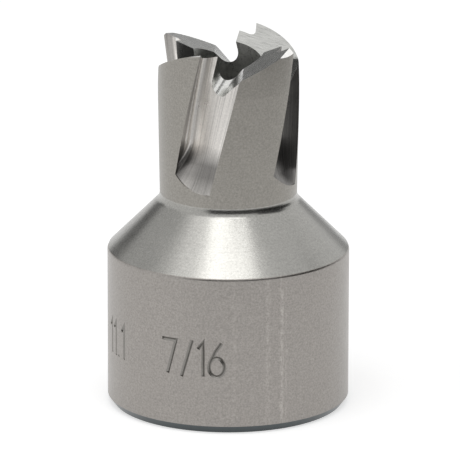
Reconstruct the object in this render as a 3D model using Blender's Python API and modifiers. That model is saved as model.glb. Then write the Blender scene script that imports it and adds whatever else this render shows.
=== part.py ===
"""Hole cutter: a one-piece annular cutter of ground tool steel for sheet metal.

A round body with a threaded arbor socket narrows through a 45 degree cone to a tubular cutting
end. Four helical flutes and four round gullets divide that end into four relieved teeth.

The foot stands on z = 0 and the teeth point up +Z. Everything is in metres.
"""

import math

import bmesh
import bpy
from mathutils import Matrix, Vector

MM = 0.001

# Turned body
BODY_DIAMETER = 19.05 * MM
BODY_HEIGHT = 12.5 * MM
FOOT_CHAMFER_HEIGHT = 0.6 * MM
FOOT_CHAMFER_WIDTH = 0.45 * MM
SHOULDER_EDGE = 0.12 * MM
CONE_SLOPE = math.radians(45)
NECK_FILLET = 1.0 * MM
NECK_DIAMETER = 10.8 * MM

# Cutting end
CUTTING_DIAMETER = 11.11 * MM
CUTTING_LENGTH = 12.7 * MM
MARGIN_LENGTH = 3.4 * MM
SLUG_BORE_DIAMETER = 5.6 * MM

# Arbor socket, at its thread's minor diameter
SOCKET_DIAMETER = 11.6 * MM
SOCKET_DEPTH = 11.0 * MM
SOCKET_MOUTH_CHAMFER = 0.7 * MM
SOCKET_FLOOR_FILLET = 0.4 * MM

# Teeth: the first one leads at this angle from -Y, turning counter-clockwise seen from the tip
TEETH = 4
FIRST_LEAD = math.radians(-23.1)
HELIX_ANGLE = math.radians(14.4)
INWARD_SLOPE = math.radians(20.5)
RELIEF_ANGLE = math.radians(12.1)
CREST_AHEAD = math.radians(21)
CREST_BEHIND = math.radians(75)

# Flutes
FLUTE_RAKE = math.radians(14.3)
FLUTE_DEPTH = 1.52 * MM
FLUTE_CORNER = math.radians(74.6)
FLOOR_WIDTH = 1.24 * MM
FLOOR_BREAK = math.radians(6.0)
FLUTE_CORNER_FILLET = 0.35 * MM
FLUTE_LENGTH = 7.4 * MM

# The end of a flute: it ramps up to a low rim, and over its last stretch its end is round
RUNOUT_HEIGHT = 3.9 * MM
RUNOUT_ROUND_HEIGHT = 1.33 * MM
RUNOUT_RIM = 0.06
RUNOUT_EASE = 1.8
RUNOUT_TIP = 0.03

# Gullets, which carry the inner cutting edges
GULLET_RADIUS = 0.78 * MM
GULLET_LEAD = 1.16 * MM
GULLET_DEPTH = 1.83 * MM
GULLET_DIP = math.radians(23.5)
GULLET_START = 1.26 * MM
HEEL_SLOPE = math.radians(41)

# The outer corner of each tooth, faceted back by this height
CORNER_FACETS = (0.12 * MM, 0.5 * MM, 0.0, 0.25 * MM)
FACET_STEEPNESS = math.radians(45)
FACET_TURN = math.radians(12)

# Fineness
TURNED_STEPS = 144
FILLET_STEPS = 6
FLUTE_STEPS = 36
FLUTE_CORNER_STEPS = 3
RUNOUT_STEPS = 8
RUNOUT_ROUND_STEPS = 9
GULLET_STEPS = 14
CREST_STEPS = 2
MERGE_DISTANCE = 0.001 * MM
SHARP_EDGE = math.radians(30)

# How far a cutter reaches past what it cuts
CUT_MARGIN = 2.0 * MM
SURFACE_CLEARANCE = 0.8 * MM
EDGE_INSET = 0.01 * MM

STEEL_COLOUR = (0.44, 0.43, 0.41, 1.0)
STEEL_ROUGHNESS = 0.35

BODY_RADIUS = BODY_DIAMETER / 2
NECK_RADIUS = NECK_DIAMETER / 2
CUTTING_RADIUS = CUTTING_DIAMETER / 2
BORE_RADIUS = SLUG_BORE_DIAMETER / 2
SOCKET_RADIUS = SOCKET_DIAMETER / 2
NECK_Z = BODY_HEIGHT + (BODY_RADIUS - NECK_RADIUS) * math.tan(CONE_SLOPE)
LEAD_Z = NECK_Z + CUTTING_LENGTH
TWIST_RATE = math.tan(HELIX_ANGLE) / CUTTING_RADIUS


def clear_scene():
    for obj in list(bpy.data.objects):
        bpy.data.objects.remove(obj, do_unlink=True)


def new_collection(name):
    collection = bpy.data.collections.new(name)
    bpy.context.scene.collection.children.link(collection)
    return collection


def mesh_object(name, collection, bm):
    """Turns a bmesh into an object of that name."""
    mesh = bpy.data.meshes.new(name)
    bm.to_mesh(mesh)
    bm.free()
    obj = bpy.data.objects.new(name, mesh)
    collection.objects.link(obj)
    return obj


def steel_material():
    material = bpy.data.materials.new("ground_tool_steel")
    material.use_nodes = True
    shader = material.node_tree.nodes["Principled BSDF"]
    shader.inputs["Base Color"].default_value = STEEL_COLOUR
    shader.inputs["Metallic"].default_value = 1.0
    shader.inputs["Roughness"].default_value = STEEL_ROUGHNESS
    return material


def arc(centre, radius, start, end, steps):
    """Points of an arc in the profile plane, from one angle to another."""
    points = []
    for i in range(steps + 1):
        angle = start + (end - start) * i / steps
        points.append((centre[0] + radius * math.cos(angle), centre[1] + radius * math.sin(angle)))
    return points


def neck_fillet():
    """The inside corner between the cutting end and the cone, top to bottom."""
    turn = math.pi / 2 - CONE_SLOPE
    reach = NECK_FILLET * math.tan(turn / 2)
    centre = (NECK_RADIUS + NECK_FILLET, NECK_Z + reach)
    return arc(centre, NECK_FILLET, math.pi, math.pi + turn, FILLET_STEPS)


def turned_profile(top):
    """The section of the blank, down its outer side and back up through socket and bore."""
    edge = SHOULDER_EDGE
    outer = [(CUTTING_RADIUS, top), (CUTTING_RADIUS, LEAD_Z - MARGIN_LENGTH)]
    outer += neck_fillet()
    outer += [
        (BODY_RADIUS - edge * math.cos(CONE_SLOPE), BODY_HEIGHT + edge * math.sin(CONE_SLOPE)),
        (BODY_RADIUS, BODY_HEIGHT - edge),
        (BODY_RADIUS, FOOT_CHAMFER_HEIGHT),
        (BODY_RADIUS - FOOT_CHAMFER_WIDTH, 0),
    ]
    floor_centre = (SOCKET_RADIUS - SOCKET_FLOOR_FILLET, SOCKET_DEPTH - SOCKET_FLOOR_FILLET)
    inner = [(SOCKET_RADIUS + SOCKET_MOUTH_CHAMFER, 0), (SOCKET_RADIUS, SOCKET_MOUTH_CHAMFER)]
    inner += arc(floor_centre, SOCKET_FLOOR_FILLET, 0, math.pi / 2, FILLET_STEPS)
    inner += [(BORE_RADIUS, SOCKET_DEPTH), (BORE_RADIUS, top)]
    return outer + inner


def turned_blank(name, collection, top):
    """Revolves the section with a Screw modifier."""
    bm = bmesh.new()
    section = [bm.verts.new((radius, 0, height)) for radius, height in turned_profile(top)]
    for first, second in zip(section, section[1:] + section[:1]):
        bm.edges.new((first, second))
    blank = mesh_object(name, collection, bm)
    screw = blank.modifiers.new("Turn", "SCREW")
    screw.steps = TURNED_STEPS
    screw.render_steps = TURNED_STEPS
    screw.use_merge_vertices = True
    screw.merge_threshold = MERGE_DISTANCE
    return blank


def loft(name, collection, rings):
    """A closed solid through rings of points, each ring with as many points as the last."""
    bm = bmesh.new()
    rows = [[bm.verts.new(point) for point in ring] for ring in rings]
    for low, high in zip(rows, rows[1:]):
        for i in range(len(low)):
            j = (i + 1) % len(low)
            bm.faces.new((low[i], low[j], high[j], high[i]))
    bm.faces.new(rows[0])
    bm.faces.new(rows[-1])
    bmesh.ops.recalc_face_normals(bm, faces=bm.faces)
    return mesh_object(name, collection, bm)


def lead_angle(tooth):
    return FIRST_LEAD + tooth * 2 * math.pi / TEETH


def tooth_frame(tooth):
    """Unit vectors of a tooth: outwards through its outer corner, backwards along its land, up."""
    angle = lead_angle(tooth)
    outwards = Vector((math.sin(angle), -math.cos(angle), 0))
    backwards = Vector((-math.cos(angle), -math.sin(angle), 0))
    return outwards, backwards, Vector((0, 0, 1))


def crest_height(outwards_distance, backwards_distance):
    """The ground top of a tooth: it falls towards the axis and behind the cutting edge."""
    inward = (outwards_distance - CUTTING_RADIUS) * math.tan(INWARD_SLOPE)
    return LEAD_Z + inward - backwards_distance * math.tan(RELIEF_ANGLE)


def crest_cutter(tooth, collection, top):
    """Everything above one tooth's ground top, over a little more than its share of the circle."""
    outwards, backwards, up = tooth_frame(tooth)
    reach = CUTTING_DIAMETER
    corners = [(0.0, 0.0)] + arc((0.0, 0.0), reach, -CREST_AHEAD, CREST_BEHIND, CREST_STEPS)
    low = []
    high = []
    for out, back in corners:
        flat = outwards * out + backwards * back
        low.append(flat + up * crest_height(out, back))
        high.append(flat + up * (top + CUT_MARGIN))
    return loft(f"crest_cutter_{tooth}", collection, (low, high))


def surface_radius(z):
    """The cutting end's outer radius at a height: full over the margin, then tapering to the neck."""
    taper_top = LEAD_Z - MARGIN_LENGTH
    share = min(max((z - NECK_Z) / (taper_top - NECK_Z), 0), 1)
    return NECK_RADIUS + (CUTTING_RADIUS - NECK_RADIUS) * share


def polar(point, depth=None):
    """A section point as its depth below the surface and its angle ahead of the cutting edge."""
    if depth is None:
        depth = CUTTING_RADIUS - point.length
    return depth, math.atan2(point.x, -point.y)


def flute_section():
    """The flute from rake wall to heel, at the tip of a tooth that leads along -Y.

    Its first and last points lie outside the surface, and the second and last but one are the
    flute's two edges on it.
    """
    wall = Matrix.Rotation(FLUTE_RAKE, 2) @ Vector((0, -1))
    lead = Vector((0, -CUTTING_RADIUS))
    corner = lead - wall * FLUTE_DEPTH
    floor = Matrix.Rotation(FLUTE_CORNER, 2) @ wall
    middle = corner + floor * FLOOR_WIDTH
    heel = Matrix.Rotation(-FLOOR_BREAK, 2) @ floor
    along = middle.dot(heel)
    heel_edge = middle + heel * (math.sqrt(along**2 + CUTTING_RADIUS**2 - middle.length_squared) - along)
    setback = FLUTE_CORNER_FILLET / math.tan(FLUTE_CORNER / 2)
    centre = corner + floor * setback + Vector((floor.y, -floor.x)) * FLUTE_CORNER_FILLET
    first_radius = corner + wall * setback - centre
    turn = FLUTE_CORNER - math.pi
    section = [polar(lead + wall * SURFACE_CLEARANCE), polar(lead, EDGE_INSET)]
    for i in range(FLUTE_CORNER_STEPS + 1):
        spoke = Matrix.Rotation(turn * i / FLUTE_CORNER_STEPS, 2) @ first_radius
        section.append(polar(centre + spoke))
    section += [polar(middle), polar(heel_edge, EDGE_INSET), polar(heel_edge + heel * SURFACE_CLEARANCE)]
    return section


def runout_share(z, across):
    """What is left of a flute's depth at a height.

    It is measured at a share of the way across the flute from the heel edge, because the rounded
    end comes sooner there the further it is from the heel.
    """
    fall = LEAD_Z - FLUTE_LENGTH - z
    length = RUNOUT_HEIGHT - RUNOUT_ROUND_HEIGHT * across**2
    return 1 - (1 - RUNOUT_RIM) * min(max(fall / length, 0), 1) ** RUNOUT_EASE


def flute_stations(top):
    """Heights from above the teeth to the flute's end, each with its share of the width and lift.

    The last one is lifted, so that the flute has just left the surface there.
    """
    runout_z = LEAD_Z - FLUTE_LENGTH
    end_z = runout_z - RUNOUT_HEIGHT
    round_z = end_z + RUNOUT_ROUND_HEIGHT
    stations = []
    for i in range(FLUTE_STEPS):
        stations.append((top + (runout_z - top) * i / FLUTE_STEPS, 1, 0))
    for i in range(RUNOUT_STEPS):
        stations.append((runout_z + (round_z - runout_z) * i / RUNOUT_STEPS, 1, 0))
    for i in range(RUNOUT_ROUND_STEPS):
        width = 1 - i / RUNOUT_ROUND_STEPS
        stations.append((end_z + RUNOUT_ROUND_HEIGHT * width**2, width, 0))
    stations.append((end_z, RUNOUT_TIP, RUNOUT_RIM * FLUTE_DEPTH + EDGE_INSET))
    return stations


def flute_cutter(tooth, collection, top):
    """A helical flute that ramps out of the cutting end and closes in a curve to its heel edge."""
    section = flute_section()
    heel_angle = section[-2][1]
    rings = []
    for z, width, lift in flute_stations(top + CUT_MARGIN):
        twist = lead_angle(tooth) - (LEAD_Z - z) * TWIST_RATE
        ring = []
        for depth, angle in section:
            across = max(1 - angle / heel_angle, 0) * width
            if depth > 0:
                depth *= runout_share(z, across)
            if angle < heel_angle:
                angle = heel_angle * (1 - across)
            radius = surface_radius(z) + lift - depth
            ring.append((radius * math.sin(twist + angle), -radius * math.cos(twist + angle), z))
        rings.append(ring)
    return loft(f"flute_cutter_{tooth}", collection, rings)


def extended(point, angle):
    """The point moved along a gullet wall, well past the top of the teeth."""
    reach = CUTTING_RADIUS + CUT_MARGIN
    return point[0] + reach * math.cos(angle), point[1] + reach * math.sin(angle)


def gullet_cutter(tooth, collection):
    """A round-bottomed gullet through the wall, between an inner cutting edge and the next heel."""
    outwards, backwards, up = tooth_frame(tooth)
    ahead = -backwards
    along = outwards * math.cos(GULLET_DIP) - up * math.sin(GULLET_DIP)
    rise = outwards * math.sin(GULLET_DIP) + up * math.cos(GULLET_DIP)
    edge_wall = math.pi / 2 - HELIX_ANGLE
    bottom = arc((0, 0), GULLET_RADIUS, edge_wall + math.pi / 2, HEEL_SLOPE + math.pi * 1.5, GULLET_STEPS)
    section = [extended(bottom[0], edge_wall)] + bottom + [extended(bottom[-1], HEEL_SLOPE)]
    start = outwards * BORE_RADIUS + ahead * GULLET_LEAD + up * (LEAD_Z - GULLET_DEPTH)
    rings = []
    for distance in (-GULLET_START, CUTTING_RADIUS):
        centre = start + along * distance
        rings.append([centre + ahead * x + rise * y for x, y in section])
    return loft(f"gullet_cutter_{tooth}", collection, rings)


def corner_cutter(tooth, collection):
    """The small facet on the outer corner of a tooth."""
    outwards, backwards, up = tooth_frame(tooth)
    level = outwards * math.cos(FACET_TURN) + backwards * math.sin(FACET_TURN)
    normal = level * math.sin(FACET_STEEPNESS) + up * math.cos(FACET_STEEPNESS)
    foot = outwards * CUTTING_RADIUS + up * (LEAD_Z - CORNER_FACETS[tooth])
    side = up.cross(level)
    size = 2 * CUT_MARGIN
    bm = bmesh.new()
    bmesh.ops.create_cube(bm, size=size)
    axes = Matrix((normal, side, normal.cross(side))).transposed().to_4x4()
    place = Matrix.Translation(foot + normal * size / 2) @ axes
    bmesh.ops.transform(bm, matrix=place, verts=bm.verts)
    bmesh.ops.recalc_face_normals(bm, faces=bm.faces)
    return mesh_object(f"corner_cutter_{tooth}", collection, bm)


def cut(target, cutter):
    cutter.hide_render = True
    cutter.display_type = "WIRE"
    boolean = target.modifiers.new(cutter.name, "BOOLEAN")
    boolean.operation = "DIFFERENCE"
    boolean.solver = "EXACT"
    boolean.object = cutter


def build_hole_cutter():
    parts = new_collection("hole_cutter")
    cutters = new_collection("cutting_tools")
    top = crest_height(CUTTING_RADIUS, 0) + CUT_MARGIN
    body = turned_blank("hole_cutter", parts, top)
    teeth = range(TEETH)
    tools = [corner_cutter(tooth, cutters) for tooth in teeth if CORNER_FACETS[tooth] > 0]
    tools += [crest_cutter(tooth, cutters, top) for tooth in teeth]
    tools += [gullet_cutter(tooth, cutters) for tooth in teeth]
    tools += [flute_cutter(tooth, cutters, top) for tooth in teeth]
    for tool in tools:
        cut(body, tool)
    body.data.materials.append(steel_material())
    body.data.shade_smooth()
    body.data.set_sharp_from_angle(angle=SHARP_EDGE)
    return body


clear_scene()
build_hole_cutter()
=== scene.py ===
"""Scene for the hole cutter: a finer skin of the same sizes, steel materials, light and camera."""

import math

import bmesh
import bpy
from mathutils import Matrix, Vector

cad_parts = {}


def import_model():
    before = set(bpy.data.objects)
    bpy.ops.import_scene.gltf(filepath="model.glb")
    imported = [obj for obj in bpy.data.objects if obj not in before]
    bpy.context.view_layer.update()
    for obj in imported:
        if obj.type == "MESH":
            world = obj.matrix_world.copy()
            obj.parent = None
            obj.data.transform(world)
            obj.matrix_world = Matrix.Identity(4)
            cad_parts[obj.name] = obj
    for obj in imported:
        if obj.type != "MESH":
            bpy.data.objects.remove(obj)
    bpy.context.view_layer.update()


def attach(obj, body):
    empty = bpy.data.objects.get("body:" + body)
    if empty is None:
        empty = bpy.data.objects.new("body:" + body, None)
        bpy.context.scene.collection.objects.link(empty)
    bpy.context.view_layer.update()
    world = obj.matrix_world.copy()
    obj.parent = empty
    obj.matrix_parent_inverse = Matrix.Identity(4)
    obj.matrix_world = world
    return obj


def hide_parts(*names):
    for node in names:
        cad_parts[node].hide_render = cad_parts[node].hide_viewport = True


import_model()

MM = 0.001

# The solid's sizes, in mm
BODY_RADIUS = 9.525
BODY_HEIGHT = 12.5
FOOT_CHAMFER_HEIGHT = 0.6
FOOT_CHAMFER_WIDTH = 0.45
SHOULDER_EDGE = 0.12
NECK_FILLET = 1.0
NECK_RADIUS = 5.4
CUTTING_RADIUS = 5.555
CUTTING_LENGTH = 12.7
MARGIN_LENGTH = 3.4
BORE_RADIUS = 2.8
SOCKET_RADIUS = 5.8
SOCKET_DEPTH = 11.0
SOCKET_MOUTH_CHAMFER = 0.7
SOCKET_FLOOR_FILLET = 0.4
CONE_SLOPE = math.radians(45)
NECK_Z = BODY_HEIGHT + BODY_RADIUS - NECK_RADIUS
LEAD_Z = NECK_Z + CUTTING_LENGTH

TEETH = 4
TOOTH_PITCH = 2 * math.pi / TEETH
FIRST_LEAD = math.radians(-23.1)
HELIX_ANGLE = math.radians(14.4)
TWIST_RATE = math.tan(HELIX_ANGLE) / CUTTING_RADIUS
INWARD_SLOPE = math.radians(20.5)
RELIEF_ANGLE = math.radians(12.1)
CREST_AHEAD = math.radians(21)
CREST_BEHIND = math.radians(75)

FLUTE_RAKE = math.radians(14.3)
FLUTE_DEPTH = 1.52
FLUTE_CORNER = math.radians(74.6)
FLUTE_CORNER_FILLET = 0.35
FLOOR_WIDTH = 1.24
FLOOR_BREAK = math.radians(6)
FLUTE_LENGTH = 7.4
RUNOUT_HEIGHT = 3.9
RUNOUT_ROUND_HEIGHT = 1.33
RUNOUT_RIM = 0.06
RUNOUT_EASE = 1.8
RUNOUT_TIP = 0.02

GULLET_RADIUS = 0.78
GULLET_LEAD = 1.16
GULLET_DEPTH = 1.83
GULLET_DIP = math.radians(23.5)
GULLET_START = 1.26
HEEL_SLOPE = math.radians(41)

CORNER_FACETS = (0.12, 0.5, 0.0, 0.25)
FACET_STEEPNESS = math.radians(45)
FACET_TURN = math.radians(12)

# The thread in the arbor socket, which only the skin has
THREAD_PITCH = 1.27
THREAD_RADIUS = 6.35
THREAD_CORE = SOCKET_RADIUS - 0.15
THREAD_START = -1.6
THREAD_TURNS = 9
THREAD_FADE_FROM = SOCKET_DEPTH - 2.6
THREAD_FADE_LENGTH = 1.0

# One turn of the thread: where it changes, as a share of the pitch, and its radius there
THREAD_FORM = (
    (0.0, THREAD_CORE),
    (0.13, THREAD_CORE),
    (0.44, THREAD_RADIUS),
    (0.56, THREAD_RADIUS),
    (0.87, THREAD_CORE),
)

# Plain size numbers pressed into the body, each with the angle in degrees where it starts. The gap
# between letters is a share of their height
STAMPS = (("11.1", -75), ("7/16", -32.5))
STAMP_HEIGHT = 2.75
STAMP_GAP = 0.17
STAMP_Z = 4.65
STAMP_RINGS = 8
STROKE_WIDTH = 0.3
STROKE_DEPTH = 0.11
STROKE_RISE = 0.2
SHARPEST_MITRE = 0.4

# Fineness
TURNED_STEPS = 240
NECK_FILLET_STEPS = 14
FLOOR_FILLET_STEPS = 8
FLUTE_CORNER_STEPS = 6
FLUTE_STEPS = 60
RUNOUT_STEPS = 20
RUNOUT_ROUND_STEPS = 18
GULLET_STEPS = 24
CREST_STEPS = 2
THREAD_STEPS = 96
BOW_STEPS = 20
SHARP_EDGE = math.radians(28)

# How far a tool reaches past what it cuts
CUT_MARGIN = 2.0
SURFACE_CLEARANCE = 0.8
EDGE_INSET = 0.01

# The skin's height is this share of the solid's, or rounding would leave it just over the solid's box
SKIN_FIT = 0.99999

# Most of a noise texture's values lie between these
NOISE_LOW = 0.3
NOISE_HIGH = 0.7

# Noise per mm, for all steels
PATCH_SCALE = 0.5
SPECKLE_SCALE = 7.0
DEEP_STREAK_SCALE = 1.7

# Painted light and shade across a flute's floor: two angles in degrees from the cutting edge, and the
# level at each
PAINTED_ACROSS_FLUTE = ((1.5, 3, 0.6, 1.0), (5, 7.5, 1.0, 1.33), (13, 22, 1.0, 0.74))

# The same across its rake wall, by distance from the axis: painted shade outside, a painted highlight
# line, and painted shade at the corner. It fades in over these heights, and the wall lies past this
# share of the pitch
PAINTED_WALL_OUTSIDE = (4.85, 5.0, 1.0, 0.6)
PAINTED_WALL_CORNER = (4.15, 4.4, 0.66, 1.0)
PAINTED_HIGHLIGHT_RADIUS = 4.64
PAINTED_HIGHLIGHT_LINE = (0.06, 0.24, 1.9, 1.0)
WALL_HEIGHTS = (20.8, 22.2, 0.0, 1.0)
WALL_FROM_TURN = 0.92

# And along the flute, by height: painted shade where its floor starts to rise, and a painted lighter
# floor above
PAINTED_SHADE_ABOVE = (20.3, 21.9, 0.0, 1.0)
PAINTED_SHADE_BELOW = (19.4, 16.7, 0.0, 0.8)
PAINTED_FLOOR_LIGHT = (22.0, 25.5, 1.15, 1.0)

# Pale rub marks down the front of the body: angle and half width in degrees, and strength
RUB_MARKS = ((2.9, 1.6, 0.09), (18.8, 1.9, 0.2), (26.0, 1.4, 0.42), (28.2, 0.9, 0.14))

# The greys of each tooth's flute and gullet, which differ by painted light and shade, how dark the
# painted shade on each flute's run-out is, and the tooth whose corner facet has a painted highlight
FLUTE_GREYS_WITH_PAINTED_SHADE = (0.61, 0.15, 0.56, 0.56)
FLUTE_PAINTED_SHADES = (0.7, 0.2, 0.65, 0.65)
GULLET_GREYS_WITH_PAINTED_LIGHT = (0.72, 0.22, 0.6, 0.16)
PAINTED_HIGHLIGHT_CORNER = 1

# Light, and sizes of the set in metres
FLOOR_GLOW = 0.58
FLOOR_SIZE = 1.5
FLOOR_DROP = 0.01 * MM
WORLD_LEVEL = 0.42
CARD_STRIPS = 16
LAMP_AIM = Vector((0, 0, 0.015))

CAMERA_LENS = 497.4
CAMERA_SENSOR = 36
CAMERA_PLACE = Vector((0, -0.4805, 0.1534))
CAMERA_AIM = Vector((0.00013, 0, 0.0138))
CAMERA_ROLL = 0.0019


# Shape


def arc(centre, radius, start, end, steps):
    """Points of an arc, from one angle to another."""
    points = []
    for i in range(steps + 1):
        angle = start + (end - start) * i / steps
        points.append((centre[0] + radius * math.cos(angle), centre[1] + radius * math.sin(angle)))
    return points


def profile(top):
    """The turned section in runs, down outside and back up inside: (points, arc centre, finish)."""
    half_turn = CONE_SLOPE / 2
    fillet_centre = (NECK_RADIUS + NECK_FILLET, NECK_Z + NECK_FILLET * math.tan(half_turn))
    fillet = arc(fillet_centre, NECK_FILLET, math.pi, math.pi + CONE_SLOPE, NECK_FILLET_STEPS)
    floor_centre = (SOCKET_RADIUS - SOCKET_FLOOR_FILLET, SOCKET_DEPTH - SOCKET_FLOOR_FILLET)
    floor_fillet = arc(floor_centre, SOCKET_FLOOR_FILLET, 0, math.pi / 2, FLOOR_FILLET_STEPS)
    edge = SHOULDER_EDGE
    reach = math.sqrt(0.5)
    knee = [(BODY_RADIUS - edge * reach, BODY_HEIGHT + edge * reach), (BODY_RADIUS, BODY_HEIGHT - edge)]
    knee_centre = (BODY_RADIUS - edge / math.tan(half_turn), BODY_HEIGHT - edge)
    foot = [(BODY_RADIUS, FOOT_CHAMFER_HEIGHT), (BODY_RADIUS - FOOT_CHAMFER_WIDTH, 0)]
    mouth = [(SOCKET_RADIUS + SOCKET_MOUTH_CHAMFER, 0), (SOCKET_RADIUS, SOCKET_MOUTH_CHAMFER)]
    # Rings through the stamps keep the faces round them short
    rings = range(STAMP_RINGS + 1, -2, -1)
    wall = [(BODY_RADIUS, STAMP_Z + STAMP_HEIGHT * i / STAMP_RINGS) for i in rings]
    taper_top = (CUTTING_RADIUS, LEAD_Z - MARGIN_LENGTH)
    return [
        ([(CUTTING_RADIUS, top), taper_top], None, "land_steel"),
        ([taper_top, fillet[0]], None, "land_steel"),
        (fillet, fillet_centre, "cone_steel"),
        ([fillet[-1], knee[0]], None, "cone_steel"),
        (knee, knee_centre, "body_steel"),
        ([knee[1]] + wall + [foot[0]], None, "body_steel"),
        (foot, None, "painted_shade_foot_steel"),
        ([foot[1], mouth[0]], None, "cone_steel"),
        (mouth, None, "cone_steel"),
        ([mouth[1], floor_fillet[0]], None, "bore_steel"),
        (floor_fillet, floor_centre, "bore_steel"),
        ([floor_fillet[-1], (BORE_RADIUS, SOCKET_DEPTH)], None, "bore_steel"),
        ([(BORE_RADIUS, SOCKET_DEPTH), (BORE_RADIUS, top)], None, "bore_steel"),
    ]


def object_of(name, bm, material):
    """Turns a bmesh into an object of that name."""
    mesh = bpy.data.meshes.new(name)
    bm.to_mesh(mesh)
    bm.free()
    obj = bpy.data.objects.new(name, mesh)
    bpy.context.scene.collection.objects.link(obj)
    mesh.materials.append(material)
    return obj


def blank(top, material):
    """The turned section, revolved."""
    runs = [points for points, _, _ in profile(top)]
    section = [point for points in runs for point in points[:-1]] + [runs[-1][-1]]
    bm = bmesh.new()
    rows = []
    for step in range(TURNED_STEPS):
        angle = 2 * math.pi * step / TURNED_STEPS
        rows.append([bm.verts.new((r * math.cos(angle), r * math.sin(angle), z)) for r, z in section])
    for here, there in zip(rows, rows[1:] + rows[:1]):
        for i in range(len(section)):
            j = (i + 1) % len(section)
            bm.faces.new((here[i], here[j], there[j], there[i]))
    bmesh.ops.recalc_face_normals(bm, faces=bm.faces)
    return object_of("cutter_skin", bm, material)


def loft(name, rings, material, closed=False):
    """A solid through rings of points; a closed one joins its last ring to its first."""
    bm = bmesh.new()
    rows = [[bm.verts.new(point) for point in ring] for ring in rings]
    for low, high in zip(rows, rows[1:] + (rows[:1] if closed else [])):
        for i in range(len(low)):
            j = (i + 1) % len(low)
            bm.faces.new((low[i], low[j], high[j], high[i]))
    if not closed:
        bm.faces.new(rows[0])
        bm.faces.new(rows[-1])
    bmesh.ops.recalc_face_normals(bm, faces=bm.faces)
    return object_of(name, bm, material)


def lead_angle(tooth):
    return FIRST_LEAD + tooth * TOOTH_PITCH


def tooth_frame(tooth):
    """Unit vectors of a tooth: outwards through its outer corner, backwards along its land, up."""
    angle = lead_angle(tooth)
    outwards = Vector((math.sin(angle), -math.cos(angle), 0))
    backwards = Vector((-math.cos(angle), -math.sin(angle), 0))
    return outwards, backwards, Vector((0, 0, 1))


def crest_height(out, back):
    """The ground top of a tooth: it falls towards the axis and behind the cutting edge."""
    return LEAD_Z + (out - CUTTING_RADIUS) * math.tan(INWARD_SLOPE) - back * math.tan(RELIEF_ANGLE)


def crest_tool(tooth, top, material):
    """Everything above one tooth's ground top, over a little more than its share of the circle."""
    outwards, backwards, up = tooth_frame(tooth)
    corners = [(0.0, 0.0)] + arc((0, 0), CUTTING_RADIUS * 2, -CREST_AHEAD, CREST_BEHIND, CREST_STEPS)
    low = []
    high = []
    for out, back in corners:
        flat = outwards * out + backwards * back
        low.append(flat + up * crest_height(out, back))
        high.append(flat + up * (top + CUT_MARGIN))
    return loft(f"tool_crest_{tooth}", (low, high), material)


def surface_radius(z):
    """The cutting end's outer radius at a height: full over the margin, then tapering to the neck."""
    taper_top = LEAD_Z - MARGIN_LENGTH
    share = min(max((z - NECK_Z) / (taper_top - NECK_Z), 0), 1)
    return NECK_RADIUS + (CUTTING_RADIUS - NECK_RADIUS) * share


def polar(point, depth=None):
    """A section point as its depth below the surface and its angle ahead of the cutting edge."""
    if depth is None:
        depth = CUTTING_RADIUS - point.length
    return depth, math.atan2(point.x, -point.y)


def flute_section():
    """The flute from rake wall to heel, at the tip of a tooth that leads along -Y.

    Its first and last points lie outside the surface, and the second and last but one are the
    flute's two edges on it.
    """
    wall = Matrix.Rotation(FLUTE_RAKE, 2) @ Vector((0, -1))
    lead = Vector((0, -CUTTING_RADIUS))
    corner = lead - wall * FLUTE_DEPTH
    floor = Matrix.Rotation(FLUTE_CORNER, 2) @ wall
    middle = corner + floor * FLOOR_WIDTH
    heel = Matrix.Rotation(-FLOOR_BREAK, 2) @ floor
    along = middle.dot(heel)
    reach = math.sqrt(along**2 + CUTTING_RADIUS**2 - middle.length_squared)
    heel_edge = middle + heel * (reach - along)
    setback = FLUTE_CORNER_FILLET / math.tan(FLUTE_CORNER / 2)
    centre = corner + floor * setback + Vector((floor.y, -floor.x)) * FLUTE_CORNER_FILLET
    first_radius = corner + wall * setback - centre
    turn = FLUTE_CORNER - math.pi
    section = [polar(lead + wall * SURFACE_CLEARANCE), polar(lead, EDGE_INSET)]
    for i in range(FLUTE_CORNER_STEPS + 1):
        spoke = Matrix.Rotation(turn * i / FLUTE_CORNER_STEPS, 2) @ first_radius
        section.append(polar(centre + spoke))
    tangent = section[-1]
    for share in (0.5, 1.0):
        section.append(tuple(a + (b - a) * share for a, b in zip(tangent, polar(middle))))
    for share in (0.35, 0.7):
        section.append(polar(middle.lerp(heel_edge, share)))
    section += [polar(heel_edge, EDGE_INSET), polar(heel_edge + heel * SURFACE_CLEARANCE)]
    return section


def runout_share(z, across):
    """What is left of a flute's depth at a height, at a share of the way across from its heel."""
    fall = LEAD_Z - FLUTE_LENGTH - z
    length = RUNOUT_HEIGHT - RUNOUT_ROUND_HEIGHT * across**2
    return 1 - (1 - RUNOUT_RIM) * min(max(fall / length, 0), 1) ** RUNOUT_EASE


def flute_stations(start_z):
    """Heights from above the teeth to the flute's end, each with its share of the width and lift."""
    runout_z = LEAD_Z - FLUTE_LENGTH
    end_z = runout_z - RUNOUT_HEIGHT
    round_z = end_z + RUNOUT_ROUND_HEIGHT
    stations = []
    for i in range(FLUTE_STEPS):
        stations.append((start_z + (runout_z - start_z) * i / FLUTE_STEPS, 1, 0))
    for i in range(RUNOUT_STEPS):
        stations.append((runout_z + (round_z - runout_z) * i / RUNOUT_STEPS, 1, 0))
    for i in range(RUNOUT_ROUND_STEPS):
        width = 1 - i / RUNOUT_ROUND_STEPS
        stations.append((end_z + RUNOUT_ROUND_HEIGHT * width**2, width, 0))
    stations.append((end_z, RUNOUT_TIP, RUNOUT_RIM * FLUTE_DEPTH + EDGE_INSET))
    return stations


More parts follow.
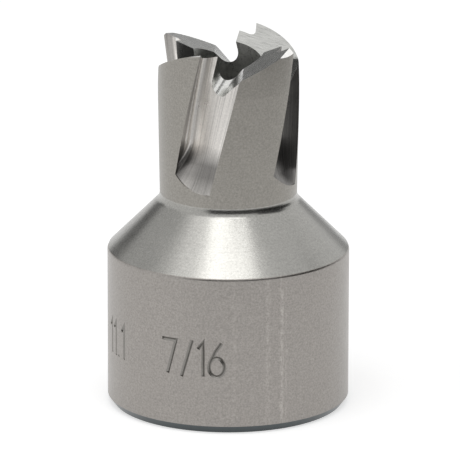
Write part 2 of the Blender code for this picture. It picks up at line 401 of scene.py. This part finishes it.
def flute_tool(tooth, top, material):
    """A helical flute that ramps out of the cutting end and closes in a curve to its heel edge."""
    section = flute_section()
    heel_angle = section[-2][1]
    rings = []
    for z, width, lift in flute_stations(top + CUT_MARGIN):
        twist = lead_angle(tooth) - (LEAD_Z - z) * TWIST_RATE
        ring = []
        for depth, angle in section:
            across = max(1 - angle / heel_angle, 0) * width
            if depth > 0:
                depth *= runout_share(z, across)
            if angle < heel_angle:
                angle = heel_angle * (1 - across)
            radius = surface_radius(z) + lift - depth
            ring.append((radius * math.sin(twist + angle), -radius * math.cos(twist + angle), z))
        rings.append(ring)
    return loft(f"tool_flute_{tooth}", rings, material)


def extended(point, angle):
    """The point moved along a gullet wall, well past the top of the teeth."""
    reach = CUTTING_RADIUS + CUT_MARGIN
    return point[0] + reach * math.cos(angle), point[1] + reach * math.sin(angle)


def gullet_tool(tooth, material):
    """A round-bottomed gullet through the wall, between an inner cutting edge and the next heel."""
    outwards, backwards, up = tooth_frame(tooth)
    ahead = -backwards
    along = outwards * math.cos(GULLET_DIP) - up * math.sin(GULLET_DIP)
    rise = outwards * math.sin(GULLET_DIP) + up * math.cos(GULLET_DIP)
    edge_wall = math.pi / 2 - HELIX_ANGLE
    ends = (edge_wall + math.pi / 2, HEEL_SLOPE + math.pi * 1.5)
    bottom = arc((0, 0), GULLET_RADIUS, *ends, GULLET_STEPS)
    section = [extended(bottom[0], edge_wall)] + bottom + [extended(bottom[-1], HEEL_SLOPE)]
    start = outwards * BORE_RADIUS + ahead * GULLET_LEAD + up * (LEAD_Z - GULLET_DEPTH)
    rings = []
    for distance in (-GULLET_START, CUTTING_RADIUS):
        centre = start + along * distance
        rings.append([centre + ahead * x + rise * y for x, y in section])
    return loft(f"tool_gullet_{tooth}", rings, material)


def corner_tool(tooth, material):
    """The small facet on the outer corner of a tooth."""
    outwards, backwards, up = tooth_frame(tooth)
    level = outwards * math.cos(FACET_TURN) + backwards * math.sin(FACET_TURN)
    normal = level * math.sin(FACET_STEEPNESS) + up * math.cos(FACET_STEEPNESS)
    foot = outwards * CUTTING_RADIUS + up * (LEAD_Z - CORNER_FACETS[tooth])
    side = up.cross(level)
    bm = bmesh.new()
    bmesh.ops.create_cube(bm, size=2 * CUT_MARGIN)
    axes = Matrix((normal, side, normal.cross(side))).transposed().to_4x4()
    place = Matrix.Translation(foot + normal * CUT_MARGIN) @ axes
    bmesh.ops.transform(bm, matrix=place, verts=bm.verts)
    bmesh.ops.recalc_face_normals(bm, faces=bm.faces)
    return object_of(f"tool_corner_{tooth}", bm, material)


def thread_point(step, turn, share, radius):
    """A point of the thread, which fades out towards the socket's floor."""
    height = THREAD_START + (turn + share + step / THREAD_STEPS) * THREAD_PITCH
    fade = min(max((height - THREAD_FADE_FROM) / THREAD_FADE_LENGTH, 0), 1)
    reach = radius + (THREAD_CORE - radius) * fade
    angle = 2 * math.pi * step / THREAD_STEPS
    return reach * math.cos(angle), reach * math.sin(angle), height


def thread_tool(material):
    """A screw-shaped solid that leaves an internal thread in the socket wall."""
    bm = bmesh.new()
    form = len(THREAD_FORM)
    grid = []
    for step in range(THREAD_STEPS):
        # The first column is one turn longer, because the last one joins it a pitch higher up
        turns = range(THREAD_TURNS + (1 if step == 0 else 0))
        rows = [(turn, *row) for turn in turns for row in THREAD_FORM]
        grid.append([bm.verts.new(thread_point(step, *row)) for row in rows])
    last = THREAD_TURNS * form - 1
    for step in range(THREAD_STEPS):
        here = grid[step]
        there = grid[(step + 1) % THREAD_STEPS]
        shift = form if step == THREAD_STEPS - 1 else 0
        for row in range(last):
            bm.faces.new((here[row], there[row + shift], there[row + shift + 1], here[row + 1]))
    ends = ((0, THREAD_START), (last, THREAD_START + THREAD_TURNS * THREAD_PITCH))
    for first_row, level in ends:
        rim = [column[first_row] for column in grid]
        rim += [grid[0][first_row + i] for i in range(form, 0, -1)]
        middle = bm.verts.new((0, 0, level + THREAD_PITCH / 2))
        for first, second in zip(rim, rim[1:] + rim[:1]):
            bm.faces.new((first, second, middle))
    bmesh.ops.recalc_face_normals(bm, faces=bm.faces)
    return object_of("tool_thread", bm, material)


def stroke_tool(name, path, closed, material):
    """A V-shaped groove in the body along a path on its unrolled surface, in mm."""
    rings = []
    for i, point in enumerate(path):
        here = Vector(point)
        before = Vector(path[i - 1]) if i or closed else None
        after = Vector(path[(i + 1) % len(path)]) if i < len(path) - 1 or closed else None
        first = (here - before if before else after - here).normalized()
        second = (after - here if after else here - before).normalized()
        side = (first + second).normalized().orthogonal()
        mitre = 1 / max(abs(side.dot(first.orthogonal())), SHARPEST_MITRE)
        ring = []
        for offset, depth in ((-0.5, -STROKE_RISE), (0.0, 1.0), (0.5, -STROKE_RISE)):
            spot = here + side * offset * mitre * STROKE_WIDTH * (1 + STROKE_RISE)
            angle = spot.x / BODY_RADIUS
            radius = BODY_RADIUS - STROKE_DEPTH * depth
            ring.append((radius * math.sin(angle), -radius * math.cos(angle), spot.y))
        rings.append(ring)
    return loft(name, rings, material, closed)


def stamp_shapes():
    """Each letter's width and its strokes, open or closed, as shares of the stamp's height."""
    angles = [2 * math.pi * i / BOW_STEPS for i in range(BOW_STEPS)]
    bow = [(0.22 + 0.22 * math.sin(angle), 0.28 + 0.28 * math.cos(angle)) for angle in angles]
    seven = [(0, 1), (0.15, 1), (0.3, 1), (0.44, 1), (0.35, 0.67), (0.26, 0.33), (0.17, 0)]
    return {
        "7": (0.44, [(seven, False)]),
        "/": (0.32, [([(0, -0.05), (0.16, 0.5), (0.32, 1.05)], False)]),
        "1": (0.15, [([(0, 0.8), (0.15, 1), (0.15, 0.5), (0.15, 0)], False)]),
        "6": (0.44, [(bow, True), ([(0.36, 1), (0.18, 0.74), (0.06, 0.48)], False)]),
        ".": (0.02, [([(0, 0), (0, 0.06)], False)]),
    }


def stamp_tools(material):
    """Plain size numbers, pressed into the body."""
    shapes = stamp_shapes()
    tools = []
    for text, turn in STAMPS:
        across = math.radians(turn) * BODY_RADIUS
        for letter in text:
            width, strokes = shapes[letter]
            for path, closed in strokes:
                placed = [(across + u * STAMP_HEIGHT, STAMP_Z + v * STAMP_HEIGHT) for u, v in path]
                tools.append(stroke_tool(f"tool_stamp_{len(tools)}", placed, closed, material))
            across += (width + STAMP_GAP) * STAMP_HEIGHT
    return tools


def cut(target, tool):
    """Cuts a tool out of the target, which takes the tool's material where it is cut."""
    boolean = target.modifiers.new(tool.name, "BOOLEAN")
    boolean.operation = "DIFFERENCE"
    boolean.solver = "EXACT"
    boolean.material_mode = "TRANSFER"
    boolean.object = tool


def apply_cuts(obj, tools):
    """Applies the cuts and removes the tools."""
    graph = bpy.context.evaluated_depsgraph_get()
    mesh = bpy.data.meshes.new_from_object(obj.evaluated_get(graph))
    obj.modifiers.clear()
    obj.data = mesh
    for tool in tools:
        bpy.data.objects.remove(tool, do_unlink=True)


def turned_pieces(mesh, top):
    """The turned section's straight pieces: (start, end, arc centre, material slot)."""
    pieces = []
    for points, centre, finish in profile(top):
        slot = mesh.materials.find(finish)
        if slot < 0:
            slot = len(mesh.materials)
            mesh.materials.append(bpy.data.materials[finish])
        pieces += [(start, end, centre, slot) for start, end in zip(points, points[1:])]
    return pieces


def nearest_piece(r, z, pieces):
    """The piece of the section closest to a point: its direction, arc centre and material slot."""
    nearest = math.inf
    for start, end, centre, slot in pieces:
        dr, dz = end[0] - start[0], end[1] - start[1]
        length = math.hypot(dr, dz)
        along = ((r - start[0]) * dr + (z - start[1]) * dz) / length
        off = abs((r - start[0]) * dz - (z - start[1]) * dr) / length
        distance = off + max(0, -along, along - length)
        if distance < nearest:
            nearest = distance
            found = (dr / length, dz / length, centre, slot)
    return found


def finish_turning(obj, top):
    """Exact normals on the turned surfaces, so that reflections run smoothly, and their finishes."""
    mesh = obj.data
    pieces = turned_pieces(mesh, top)
    mesh.shade_smooth()
    mesh.set_sharp_from_angle(angle=SHARP_EDGE)
    normals = [Vector((0, 0, 0))] * len(mesh.loops)
    for face in mesh.polygons:
        # Slot 0 is the blank's own material, so this face is one that no tool cut
        if face.material_index != 0:
            continue
        c = face.center / MM
        dr, dz, centre, slot = nearest_piece(math.hypot(c.x, c.y), c.z, pieces)
        face.material_index = slot
        flat = Vector((c.x, c.y)).normalized()
        facing = -dz * (face.normal.x * flat.x + face.normal.y * flat.y) + dr * face.normal.z
        sign = 1 if facing > 0 else -1
        for loop in face.loop_indices:
            p = mesh.vertices[mesh.loops[loop].vertex_index].co / MM
            way = Vector((p.x, p.y)).normalized()
            nr, nz = -dz * sign, dr * sign
            if centre:
                spoke = Vector((math.hypot(p.x, p.y) - centre[0], p.z - centre[1])).normalized()
                nr, nz = -spoke if spoke.x * nr + spoke.y * nz < 0 else spoke
            normals[loop] = Vector((way.x * nr, way.y * nr, nz))
    mesh.normals_split_custom_set(normals)


# Materials


class Nodes:
    """A small helper that adds nodes to a tree and links them."""

    def __init__(self, tree):
        self.tree = tree

    def add(self, kind, values=None, output=0, **settings):
        """Adds a node and returns one of its outputs; a value can be a number or another output."""
        node = self.tree.nodes.new(kind)
        for name, value in settings.items():
            setattr(node, name, value)
        for name, value in (values or {}).items():
            if isinstance(value, bpy.types.NodeSocket):
                self.tree.links.new(value, node.inputs[name])
            else:
                node.inputs[name].default_value = value
        return node.outputs[output]

    def math(self, operation, a, b=0.0, c=0.0):
        return self.add("ShaderNodeMath", {0: a, 1: b, 2: c}, operation=operation)

    def product(self, first, *others):
        for other in others:
            first = self.math("MULTIPLY", first, other)
        return first

    def noise(self, vector, scale, detail, rough):
        values = {"Vector": vector, "Scale": scale, "Detail": detail, "Roughness": rough}
        return self.add("ShaderNodeTexNoise", values, normalize=True)

    def scaled(self, vector, factors):
        return self.add("ShaderNodeVectorMath", {0: vector, 1: factors}, operation="MULTIPLY")

    def range(self, value, low, high, to_low, to_high):
        ends = {"From Min": low, "From Max": high, "To Min": to_low, "To Max": to_high}
        return self.add("ShaderNodeMapRange", {"Value": value, **ends}, clamp=True)

    def spread(self, noise, low, high):
        """A noise, with its usual range brought to lie between two values."""
        return self.range(noise, NOISE_LOW, NOISE_HIGH, low, high)

    def around(self, mm):
        """A place's angle round the axis, from -Y towards +X, and its height."""
        self.add("ShaderNodeSeparateXYZ", {"Vector": mm})
        x, y, z = self.tree.nodes[-1].outputs
        return self.math("ARCTAN2", x, self.math("MULTIPLY", y, -1.0)), z


def steel(
    name,
    colour,
    roughness,
    streak,
    bump,
    tone,
    grain=0.04,
    aniso=0.0,
    turn=0.0,
    flute_painted_shade=0.0,
    rubbed=False,
):
    """Machined steel: streaks along the machining, soft patches and a fine grain.

    streak is the streaks' noise per mm along x, y and z, turned round the axis by an angle. Where
    flute_painted_shade is given the steel is a flute's: its streaks follow the helix, its run-out is
    that much darker with painted shade, and painted highlights and shade run across it.
    """
    material = bpy.data.materials.new(name)
    material.use_nodes = True
    tree = material.node_tree
    n = Nodes(tree)
    shader = tree.nodes["Principled BSDF"]
    shader.inputs["Metallic"].default_value = 1.0
    mm = n.scaled(n.add("ShaderNodeTexCoord", output="Object"), (1 / MM, 1 / MM, 1 / MM))
    if flute_painted_shade:
        turned = unrolled(n, mm)
    else:
        turned = n.add("ShaderNodeVectorRotate", {"Vector": mm, "Angle": turn}, rotation_type="Z_AXIS")
    deep_streak = [DEEP_STREAK_SCALE * value for value in streak]
    lines = n.noise(n.scaled(turned, streak), 1.0, 4.0, 0.65)
    deep = n.noise(n.scaled(turned, deep_streak), 1.0, 2.0, 0.5)
    patches = n.noise(mm, PATCH_SCALE, 4.0, 0.6)
    speckle = n.noise(mm, SPECKLE_SCALE, 3.0, 0.7)
    shade = n.product(
        n.spread(lines, 1 - tone, 1 + tone),
        n.range(deep, 0.27, 0.4, 1 - 2.5 * tone, 1.0),
        n.spread(patches, 0.97, 1.03),
        n.spread(speckle, 1 - grain, 1 + grain),
    )
    if rubbed:
        shade = n.product(shade, rub_marks(n, mm))
    # A flute gets painted shade on its run-out, and painted highlights and shade across it
    if flute_painted_shade:
        shade = n.product(shade, painted_runout_shade(n, mm, flute_painted_shade), painted_section_light(n, mm))
    tint = n.add("ShaderNodeVectorMath", {0: colour, "Scale": shade}, operation="SCALE")
    tree.links.new(tint, shader.inputs["Base Color"])
    rough = n.spread(patches, roughness * 0.9, roughness * 1.1)
    tree.links.new(rough, shader.inputs["Roughness"])
    height = n.math("ADD", n.product(lines, 0.7), n.product(speckle, 0.3))
    dent = n.add("ShaderNodeBump", {"Height": height, "Distance": bump * MM, "Strength": 1.0})
    tree.links.new(dent, shader.inputs["Normal"])
    if aniso:
        shader.inputs["Anisotropic"].default_value = aniso
        tangent = n.add("ShaderNodeTangent", direction_type="RADIAL", axis="Z")
        tree.links.new(tangent, shader.inputs["Tangent"])
    return material


def unrolled(n, mm):
    """Coordinates that run across and along the helix, the same at every depth of a flute."""
    angle, z = n.around(mm)
    across = n.product(n.math("MULTIPLY_ADD", z, -TWIST_RATE, angle), CUTTING_RADIUS)
    return n.add("ShaderNodeCombineXYZ", {"X": across, "Z": z})


def painted_section_light(n, mm):
    """Painted light and shade across a flute, by angle on its floor and by radius on its wall."""
    angle, z = n.around(mm)
    untwisted = n.math("MULTIPLY_ADD", z, -TWIST_RATE, angle)
    untwisted = n.math("ADD", untwisted, LEAD_Z * TWIST_RATE - FIRST_LEAD)
    turns = n.math("FRACT", n.math("DIVIDE", untwisted, TOOTH_PITCH))
    # Painted shade by the cutting edge, a painted highlight band, then painted shade towards the heel
    bands = [
        n.range(turns, math.radians(start) / TOOTH_PITCH, math.radians(end) / TOOTH_PITCH, low, high)
        for start, end, low, high in PAINTED_ACROSS_FLUTE
    ]
    flat = n.scaled(mm, (1, 1, 0))
    radius = n.add("ShaderNodeVectorMath", {0: flat}, output="Value", operation="LENGTH")
    off_line = n.math("ABSOLUTE", n.math("SUBTRACT", radius, PAINTED_HIGHLIGHT_RADIUS))
    # A painted highlight line on the rake wall, with painted shade outside it and at its corner
    wall = n.product(
        n.range(off_line, *PAINTED_HIGHLIGHT_LINE),
        n.range(radius, *PAINTED_WALL_OUTSIDE),
        n.range(radius, *PAINTED_WALL_CORNER),
    )
    on_wall = n.product(n.math("GREATER_THAN", turns, WALL_FROM_TURN), n.range(z, *WALL_HEIGHTS))
    wall_shade = n.math("MULTIPLY_ADD", n.math("SUBTRACT", wall, 1.0), on_wall, 1.0)
    return n.product(*bands, wall_shade)


def painted_runout_shade(n, mm, flute_painted_shade):
    """Painted shade where a flute's floor starts to rise, and a painted lighter floor above it."""
    _, z = n.around(mm)
    unshaded = n.math("MAXIMUM", n.range(z, *PAINTED_SHADE_ABOVE), n.range(z, *PAINTED_SHADE_BELOW))
    runout_shaded = n.math("MULTIPLY_ADD", unshaded, flute_painted_shade, 1 - flute_painted_shade)
    return n.product(runout_shaded, n.range(z, *PAINTED_FLOOR_LIGHT))


def rub_marks(n, mm):
    """Faint pale rub marks that run down the front of the body, broken up along their length."""
    angle, _ = n.around(mm)
    worn = n.noise(n.scaled(mm, (6.0, 6.0, 1.6)), 1.0, 3.0, 0.7)
    total = 0.0
    for at, width, level in RUB_MARKS:
        off = n.math("ABSOLUTE", n.math("SUBTRACT", angle, math.radians(at)))
        mark = n.range(off, 0.0, math.radians(width), 1.0, 0.0)
        total = n.math("MULTIPLY_ADD", mark, level, total)
    return n.math("MULTIPLY_ADD", total, n.range(worn, 0.42, 0.6, 0.0, 1.0), 1.0)


# Streaks round a turned surface
TURNED = (0.35, 0.35, 9.0)
TURNED_FINE = (0.2, 0.2, 16.0)

body_steel = steel(
    "body_steel", (0.321, 0.302, 0.283), 0.33, TURNED, 0.006, 0.02, 0.19, 0.2, rubbed=True
)

# The other turned finishes, which the profile gives by name
steel("land_steel", (0.289, 0.276, 0.252), 0.33, TURNED, 0.005, 0.02, 0.18, 0.2)
steel("cone_steel", (0.342, 0.337, 0.318), 0.24, TURNED_FINE, 0.002, 0.03, 0.15, 0.3)
# Painted shade: the foot chamfer's dark, bluish colour stands in for the shadowed floor it reflects
steel("painted_shade_foot_steel", (0.09, 0.102, 0.106), 0.3, TURNED_FINE, 0.002, 0.03, 0.03)
steel("bore_steel", (0.4, 0.4, 0.38), 0.45, (2.0, 2.0, 3.0), 0.02, 0.2, 0.1)

# What the tools leave behind
stamp_steel = steel("stamp_steel", (0.25, 0.24, 0.225), 0.36, (2.0, 2.0, 2.0), 0.006, 0.03, 0.05)
thread_steel = steel("thread_steel", (0.3, 0.29, 0.275), 0.3, (0.3, 0.3, 6.0), 0.01, 0.05)
# A near-white steel that paints a highlight on one tooth's corner facet
painted_highlight_steel = steel("painted_highlight_steel", (0.95, 0.94, 0.92), 0.2, (3.0, 3.0, 3.0), 0.002, 0.03)


def flute_steel(tooth):
    """Streaked along the helix."""
    # The flutes' greys hold painted shade: the second tooth's flute is painted dark
    grey = FLUTE_GREYS_WITH_PAINTED_SHADE[tooth]
    colour = (grey, grey * 0.965, grey * 0.92)
    flute_painted_shade = FLUTE_PAINTED_SHADES[tooth]
    return steel(f"flute_steel_{tooth}", colour, 0.3, (7.0, 1.0, 0.05), 0.006, 0.26, 0.1, flute_painted_shade=flute_painted_shade)


def gullet_steel(tooth):
    """Finely ground, with painted light and shade that make some gullets brighter than others."""
    grey = GULLET_GREYS_WITH_PAINTED_LIGHT[tooth]
    return steel(f"gullet_steel_{tooth}", (grey, grey, grey * 0.97), 0.24, (1.2, 7.0, 7.0), 0.008, 0.07)


def crest_steel(tooth):
    """Streaked across the tooth's top, square to its land."""
    colour = (0.53, 0.53, 0.51)
    turn = -lead_angle(tooth)
    return steel(f"crest_steel_{tooth}", colour, 0.24, (0.3, 5.0, 5.0), 0.006, 0.14, turn=turn)


def build_skin():
    """The cutter's whole surface as one mesh, in metres."""
    top = LEAD_Z + CUT_MARGIN
    body = blank(top, body_steel)
    flute_steels = [flute_steel(tooth) for tooth in range(TEETH)]
    gullet_steels = [gullet_steel(tooth) for tooth in range(TEETH)]
    crest_steels = [crest_steel(tooth) for tooth in range(TEETH)]
    tools = []
    for tooth in range(TEETH):
        if CORNER_FACETS[tooth] > 0:
            # One corner facet gets the painted highlight; the others keep their crest steel
            finish = painted_highlight_steel if tooth == PAINTED_HIGHLIGHT_CORNER else crest_steels[tooth]
            tools.append(corner_tool(tooth, finish))
    tools += [crest_tool(tooth, top, crest_steels[tooth]) for tooth in range(TEETH)]
    tools += [gullet_tool(tooth, gullet_steels[tooth]) for tooth in range(TEETH)]
    tools += [flute_tool(tooth, top, flute_steels[tooth]) for tooth in range(TEETH)]
    tools += [thread_tool(thread_steel)] + stamp_tools(stamp_steel)
    for tool in tools:
        cut(body, tool)
    bpy.context.view_layer.update()
    apply_cuts(body, tools)
    body.data.transform(Matrix.Diagonal((MM, MM, MM * SKIN_FIT, 1)))
    finish_turning(body, top)
    return body


skin = build_skin()
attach(skin, "root")
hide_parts("hole_cutter")


# Floor, light and camera


def towards(azimuth, elevation):
    """A direction from the cutter; azimuth 0 is the camera's side and 90 is the right."""
    a, e = math.radians(azimuth), math.radians(elevation)
    return Vector((math.sin(a) * math.cos(e), -math.cos(a) * math.cos(e), math.sin(e)))


def seen_white(n):
    """1 for rays that show the white set: the camera's own, and those in metal or through glass."""
    n.add("ShaderNodeLightPath")
    path = n.tree.nodes[-1].outputs
    seen = n.math("MAXIMUM", path["Is Camera Ray"], path["Is Transmission Ray"])
    return n.math("MAXIMUM", seen, path["Is Glossy Ray"])


def cleared_nodes(material):
    """A material's or a world's node tree, emptied."""
    material.use_nodes = True
    material.node_tree.nodes.clear()
    return Nodes(material.node_tree)


def floor():
    """A white floor that keeps the cutter's shadow, a hair under it and clear from below."""
    bm = bmesh.new()
    bmesh.ops.create_grid(bm, x_segments=1, y_segments=1, size=FLOOR_SIZE)
    material = bpy.data.materials.new("floor")
    obj = object_of("floor", bm, material)
    obj.location.z = -FLOOR_DROP
    n = cleared_nodes(material)
    glow = n.product(seen_white(n), FLOOR_GLOW)
    paint = n.add("ShaderNodeBsdfDiffuse", {"Color": (0.8, 0.8, 0.8, 1)})
    light = n.add("ShaderNodeEmission", {"Color": (1, 1, 1, 1), "Strength": glow})
    both = n.add("ShaderNodeAddShader", {0: paint, 1: light})
    under = n.add("ShaderNodeNewGeometry", output="Backfacing")
    clear = n.add("ShaderNodeBsdfTransparent")
    sheet = n.add("ShaderNodeMixShader", {0: under, 1: both, 2: clear})
    out = n.tree.nodes.new("ShaderNodeOutputMaterial")
    n.tree.links.new(sheet, out.inputs["Surface"])


def world():
    """White where it is seen, and dimmer as a light."""
    sky = bpy.data.worlds.new("studio")
    bpy.context.scene.world = sky
    n = cleared_nodes(sky)
    strength = n.add("ShaderNodeMix", {0: seen_white(n), 2: WORLD_LEVEL, 3: 1.0})
    back = n.add("ShaderNodeBackground", {"Color": (1, 1, 1, 1), "Strength": strength})
    out = n.tree.nodes.new("ShaderNodeOutputWorld")
    n.tree.links.new(back, out.inputs["Surface"])


def card(name, level, azimuths, low, high, shades=False):
    """A curved card of one grey level, out of the camera's sight, that shades the steel.

    low and high are the distance from the axis and the height of its two long edges.
    """
    bm = bmesh.new()
    rows = []
    for i in range(CARD_STRIPS + 1):
        azimuth = azimuths[0] + (azimuths[1] - azimuths[0]) * i / CARD_STRIPS
        edges = [towards(azimuth, 0) * out + Vector((0, 0, up)) for out, up in (low, high)]
        rows.append([bm.verts.new(edge) for edge in edges])
    for here, there in zip(rows, rows[1:]):
        bm.faces.new((here[0], there[0], there[1], here[1]))
    material = bpy.data.materials.new(name)
    n = cleared_nodes(material)
    light = n.add("ShaderNodeEmission", {"Color": (1, 1, 1, 1), "Strength": level})
    out = n.tree.nodes.new("ShaderNodeOutputMaterial")
    n.tree.links.new(light, out.inputs["Surface"])
    obj = object_of(name, bm, material)
    obj.visible_camera = False
    obj.visible_diffuse = False
    obj.visible_shadow = shades


def softbox(name, azimuth, elevation, distance, size, power):
    """A square area light that faces the cutter."""
    data = bpy.data.lights.new(name, "AREA")
    data.size = size
    data.energy = power
    lamp = bpy.data.objects.new(name, data)
    lamp.location = towards(azimuth, elevation) * distance + LAMP_AIM
    lamp.rotation_euler = towards(azimuth, elevation).to_track_quat("Z", "Y").to_euler()
    bpy.context.scene.collection.objects.link(lamp)


def camera():
    """The photograph's view of the cutter."""
    data = bpy.data.cameras.new("camera")
    data.lens = CAMERA_LENS
    data.sensor_width = CAMERA_SENSOR
    data.clip_start = 0.01
    data.clip_end = 10
    obj = bpy.data.objects.new("camera", data)
    obj.location = CAMERA_PLACE
    level = (CAMERA_AIM - CAMERA_PLACE).to_track_quat("-Z", "Y").to_matrix()
    obj.rotation_euler = (level @ Matrix.Rotation(CAMERA_ROLL, 3, "Z")).to_euler()
    bpy.context.scene.collection.objects.link(obj)
    bpy.context.scene.camera = obj


floor()
world()
card("front_card", 0.1, (-35, 100), (0.6, 0.0), (0.6, 0.36))
card("front_mat", 0.12, (-35, 100), (0.145, 0.001), (0.6, 0.001))
card("side_flag", 0.02, (50, 116), (0.058, 0.0165), (0.058, 0.029))
card("high_flag", 0.06, (50, 104), (0.058, 0.029), (0.058, 0.06))
card("top_flag", 0.04, (10, 130), (0.002, 0.056), (0.0165, 0.056), shades=True)
card("back_card", 0.18, (-178, -128), (0.7, 0.11), (0.7, 0.42))
card("rear_card", 0.42, (150, 182), (0.72, 0.0), (0.72, 0.42))
card("left_card", 0.74, (-145, -95), (0.65, 0.28), (0.65, 0.85))
softbox("overhead", 3, 74, 0.5, 0.295, 0.57)
softbox("skirt", -62, 66, 0.5, 0.24, 0.12)
camera()
bpy.context.scene.view_settings.view_transform = "Standard"
